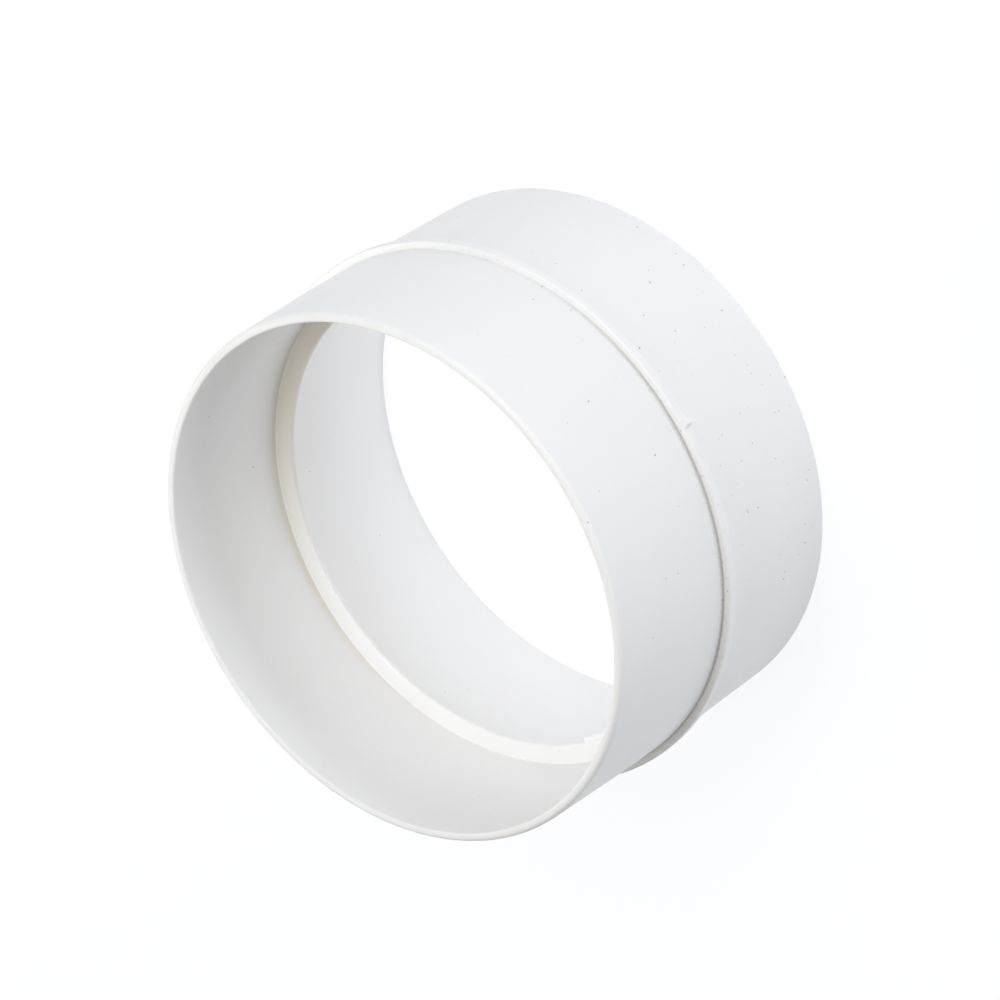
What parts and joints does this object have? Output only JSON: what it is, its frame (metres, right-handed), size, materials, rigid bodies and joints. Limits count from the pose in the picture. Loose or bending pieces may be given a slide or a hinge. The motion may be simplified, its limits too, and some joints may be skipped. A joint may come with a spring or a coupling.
{
  "type": "duct connector",
  "caption": "Short round plastic tube that joins ventilation ducts end to end, with a stop rib round the outside and a stop ring inside at mid-length.",
  "frame": {"origin": "centre of the end face that the part stands on", "axes": "+Z along the airway, up to the other end; +X and +Y are free round the axis, and are set by the mould marks"},
  "size_m": [0.1028, 0.1037, 0.06],
  "materials": {
    "white_plastic": "white moulded plastic, satin to semi-gloss, with fine dust in the corners"
  },
  "bodies": {
    "root": {"connector_body": "white_plastic"}
  },
  "joints": []
}
